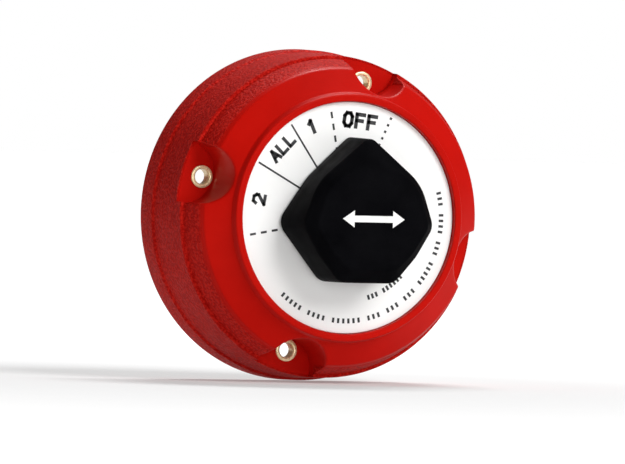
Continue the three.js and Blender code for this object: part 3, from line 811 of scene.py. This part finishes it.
def hexagon(z0, z1, centre, turn):
    """A hexagonal body with rounded-off corners at both ends."""
    corner, rim = HEX_FLATS / math.sqrt(3), HEX_FLATS / 2 - 0.3
    outline = [(centre[0] + x, centre[1] + y) for x, y in (polar(corner, turn + 60 * k) for k in range(6))]
    body = bare_object(extruded(outline, z0, z1), "hexagon")
    drop = (corner - rim) * 0.55
    widest = corner + 0.01
    envelope = [(0, z0), (rim, z0), (widest, z0 + drop), (widest, z1 - drop), (rim, z1), (0, z1)]
    return boolean(body, bare_object(revolved(envelope, 96, centre)), "INTERSECT")


def make_stud(name, turn):
    """A hexagon-headed stud whose thread is a helical wave in its radius."""
    node = f"stud_{name}"
    low, high = node_box(node)
    centre = centre_of(node)
    head = high.z - 3.6
    step = THREAD_PITCH / 8
    rows = []
    for i in range(int((head + 0.8 - low.z) / step) + 1):
        z = low.z + i * step
        limit = THREAD_RADIUS - max(0, 0.8 - i * step)
        row = []
        for j in range(36):
            phase = (z / THREAD_PITCH - j / 36) % 1
            radius = min(limit, THREAD_RADIUS - THREAD_DEPTH * abs(2 * phase - 1))
            x, y = polar(radius, 10 * j)
            row.append(place(centre[0] + x, centre[1] + y, z))
        rows.append(row)
    bm = bmesh.new()
    made = add_grid(bm, rows, closed=True)
    bm.faces.new(made[0][::-1])
    bm.faces.new(made[-1])
    stud = boolean(hexagon(head, high.z, centre, turn), bare_object(bm), "UNION")
    dress(f"threaded_stud_{name}", take_mesh(stud), BRASS, HOUSING, (node,), 30)


def make_nut(kind, name, turn):
    node = f"{kind}_nut_{name}"
    low, high = node_box(node)
    nut = hexagon(low.z, high.z, centre_of(node), turn)
    bore, flare = THREAD_RADIUS + 0.16, 1.6
    profile = [(0, low.z - 1), (bore + flare, low.z - 1), (bore, low.z + 0.6), (bore, high.z - 0.6),
               (bore + flare, high.z + 1), (0, high.z + 1)]
    boolean(nut, bare_object(revolved(profile, 64, centre_of(node))))
    dress(f"{kind}_hex_nut_{name}", take_mesh(nut), BRASS, HOUSING, (node,), 25)


def make_flat_washer(name):
    node = f"flat_washer_{name}"
    low, high = node_box(node)
    outer = high.x - centre_of(node)[0]
    inner = STUD_BORE + 0.1
    profile = round_profile(
        [(inner, low.z + 0.6), (inner, low.z), (outer, low.z), (outer, high.z), (inner, high.z),
         (inner, low.z + 0.6)], [0.1, 0.4, 0.15, 0.1], 30)
    bm = revolved(profile, 72, centre_of(node))
    to_object(f"plain_washer_{name}", bm, BRASS, HOUSING, (node,), 40)


def make_lock_washer(name, start):
    """Split spring washer: a square-section ring, open at one place, with its ends slightly apart."""
    node = f"lock_washer_{name}"
    low, high = node_box(node)
    centre = centre_of(node)
    inner, outer, lift = STUD_BORE + 0.1, 8.2, 0.12
    section = round_profile([(inner, low.z + 0.9), (inner, low.z + lift), (outer, low.z + lift),
                             (outer, high.z - lift), (inner, high.z - lift), (inner, low.z + 0.9)],
                            [0.2, 0.25, 0.25, 0.2], 30)[:-1]
    rows = []
    for i in range(73):
        angle = start + 6 + 348 * i / 72
        rows.append([])
        for radius, z in section:
            x, y = polar(radius, angle)
            rows[-1].append(place(centre[0] + x, centre[1] + y, z + lift * (i / 36 - 1)))
    bm = bmesh.new()
    made = add_grid(bm, rows, closed=True)
    bm.faces.new(made[0])
    bm.faces.new(made[-1][::-1])
    to_object(f"split_washer_{name}", bm, STEEL, HOUSING, (node,), 40)


def make_base_screw(k, node):
    """A screw with a low domed head and a driver slot."""
    low, high = node_box(node)
    centre = centre_of(node)
    head = low.z + 2.6
    profile = round_profile([(0, low.z), (3.0, low.z + 0.1), (3.9, low.z + 1.5), (3.9, head), (2.0, head),
                             (2.0, high.z - 1), (1.2, high.z), (0, high.z)], [2.0, 0.9, 0.15, 0, 0, 0], 12)
    screw = bare_object(revolved(profile, 56, centre), "screw_work")
    turn = 90 + 155 * k
    corners = [Vector(c) for c in ((-5, -0.5), (5, -0.5), (5, 0.5), (-5, 0.5))]
    turned = [Matrix.Rotation(math.radians(turn), 2) @ c + Vector(centre) for c in corners]
    boolean(screw, bare_object(extruded([tuple(c) for c in turned], low.z - 1, low.z + 1.1)))
    dress(f"slotted_screw_{k + 1}", take_mesh(screw), STEEL, HOUSING, (node,), 30)


def make_rear():
    make_base_plate()
    for k, node in enumerate(BASE_SCREWS):
        make_base_screw(k, node)
    for k, name in enumerate(TERMINALS):
        make_stud(name, 17 * k)
        make_nut("clamp", name, 10 + 17 * k)
        make_nut("terminal", name, 25 - 17 * k)
        make_flat_washer(name)
        make_lock_washer(name, 140 - 17 * k)


# --- stage ----------------------------------------------------------------------------------------------

def make_stage():
    """A pale floor that glows more the further it is from the switch, to meet the white of the room."""
    bpy.ops.mesh.primitive_plane_add(size=16)
    floor = bpy.context.object
    floor.name = "floor"
    floor.location = (0, 0, -REAR_RADIUS * MM - 0.0002)
    shader = Shader("pale_floor", (0.60, 0.60, 0.60), 0.9)
    shader.bsdf.inputs["Specular IOR Level"].default_value = 0.0
    shader.bsdf.inputs["Emission Color"].default_value = (1, 1, 1, 1)
    distance = shader.nodes.new("ShaderNodeVectorMath")
    distance.operation = "LENGTH"
    shader.links.new(shader.position, distance.inputs[0])
    glow = shader.remap(distance.outputs["Value"], 0.12, 0.8, 0.25, 0.72)
    shader.links.new(glow, shader.bsdf.inputs["Emission Strength"])
    floor.data.materials.append(shader.material)


ROOM_LEVEL = 0.10
BACKDROP = (0.41, 0.91, 0.0)     # direction of the white part of the room


def make_world():
    """A soft grey room that is white behind the switch."""
    world = bpy.data.worlds.new("studio")
    world.use_nodes = True
    nodes, links = world.node_tree.nodes, world.node_tree.links
    direction = nodes.new("ShaderNodeTexCoord").outputs["Generated"]
    facing = nodes.new("ShaderNodeVectorMath")
    facing.operation = "DOT_PRODUCT"
    facing.inputs[1].default_value = BACKDROP
    links.new(direction, facing.inputs[0])
    level = nodes.new("ShaderNodeMapRange")
    level.interpolation_type = "SMOOTHSTEP"
    level.inputs["From Min"].default_value = 0.93
    level.inputs["From Max"].default_value = 0.99
    level.inputs["To Min"].default_value = ROOM_LEVEL
    level.inputs["To Max"].default_value = 1.0
    links.new(facing.outputs["Value"], level.inputs["Value"])
    links.new(level.outputs["Result"], nodes["Background"].inputs["Strength"])
    nodes["Background"].inputs["Color"].default_value = (1, 1, 1, 1)
    bpy.context.scene.world = world


def area_light(name, location, target, size, power):
    """A rectangular light at location, aimed at target."""
    data = bpy.data.lights.new(name, "AREA")
    data.shape = "RECTANGLE"
    data.size, data.size_y = size
    data.energy = power
    light = bpy.data.objects.new(name, data)
    light.location = location
    light.rotation_euler = (Vector(target) - Vector(location)).to_track_quat("-Z", "Y").to_euler()
    bpy.context.scene.collection.objects.link(light)


def sun_light(name, source, strength, spread):
    """A distant light from the direction source, with its apparent width in degrees."""
    data = bpy.data.lights.new(name, "SUN")
    data.energy = strength
    data.angle = math.radians(spread)
    light = bpy.data.objects.new(name, data)
    light.rotation_euler = Vector(source).to_track_quat("Z", "Y").to_euler()
    bpy.context.scene.collection.objects.link(light)


def make_lights():
    sun_light("key", (0.34, -0.85, 0.62), 2.15, 34)
    sun_light("fill", (-0.15, -1.0, 0.0), 1.2, 30)
    area_light("top_strip", (0.35, 0.35, 1.0), (0, -0.03, 0), (0.7, 0.25), 10)


CAMERA_AZIMUTH = -24.2
CAMERA_ELEVATION = 0.9
CAMERA_ROLL = 1.5
CAMERA_LENS = 800.0
CAMERA_DISTANCE = 5.61
FRAME_CENTRE = (8.3, -7.1)   # frame centre from the switch's axis in the rear plane, across the view, mm


def make_camera():
    data = bpy.data.cameras.new("camera")
    data.lens = CAMERA_LENS
    data.sensor_width = 36.0
    camera = bpy.data.objects.new("camera", data)
    bpy.context.scene.collection.objects.link(camera)
    a, e = math.radians(CAMERA_AZIMUTH), math.radians(CAMERA_ELEVATION)
    back = Vector((math.sin(a) * math.cos(e), -math.cos(a) * math.cos(e), math.sin(e)))
    rotation = (-back).to_track_quat("-Z", "Y").to_matrix()
    rotation = rotation @ Matrix.Rotation(math.radians(CAMERA_ROLL), 3, "Z")
    right, up = rotation.col[0], rotation.col[1]
    target = (right * FRAME_CENTRE[0] + up * FRAME_CENTRE[1]) * MM
    camera.location = target + back * CAMERA_DISTANCE
    camera.rotation_mode = "QUATERNION"
    camera.rotation_quaternion = rotation.to_quaternion()
    bpy.context.scene.camera = camera


make_stage()
make_world()
make_lights()
make_camera()
make_case()
for index, hole_name in enumerate(HOLE_NAMES):
    make_eyelet(hole_name, index)
make_dial()
make_dial_print()
make_knob()
make_mark()
make_rear()

CAD_MATERIALS = {
    "steel": STEEL, "brass": BRASS, "copper": COPPER, "rubber": RUBBER, "phenolic": PHENOLIC,
    "red_plastic": RED, "white_plastic": WHITE, "knob_plastic": KNOB_BLACK,
}
for part in frame["record"]["subparts"]:
    node = NODES[part["node"]]
    node.data.materials.clear()
    node.data.materials.append(CAD_MATERIALS[part["material_slot"]])

bpy.context.scene.view_settings.view_transform = "Standard"
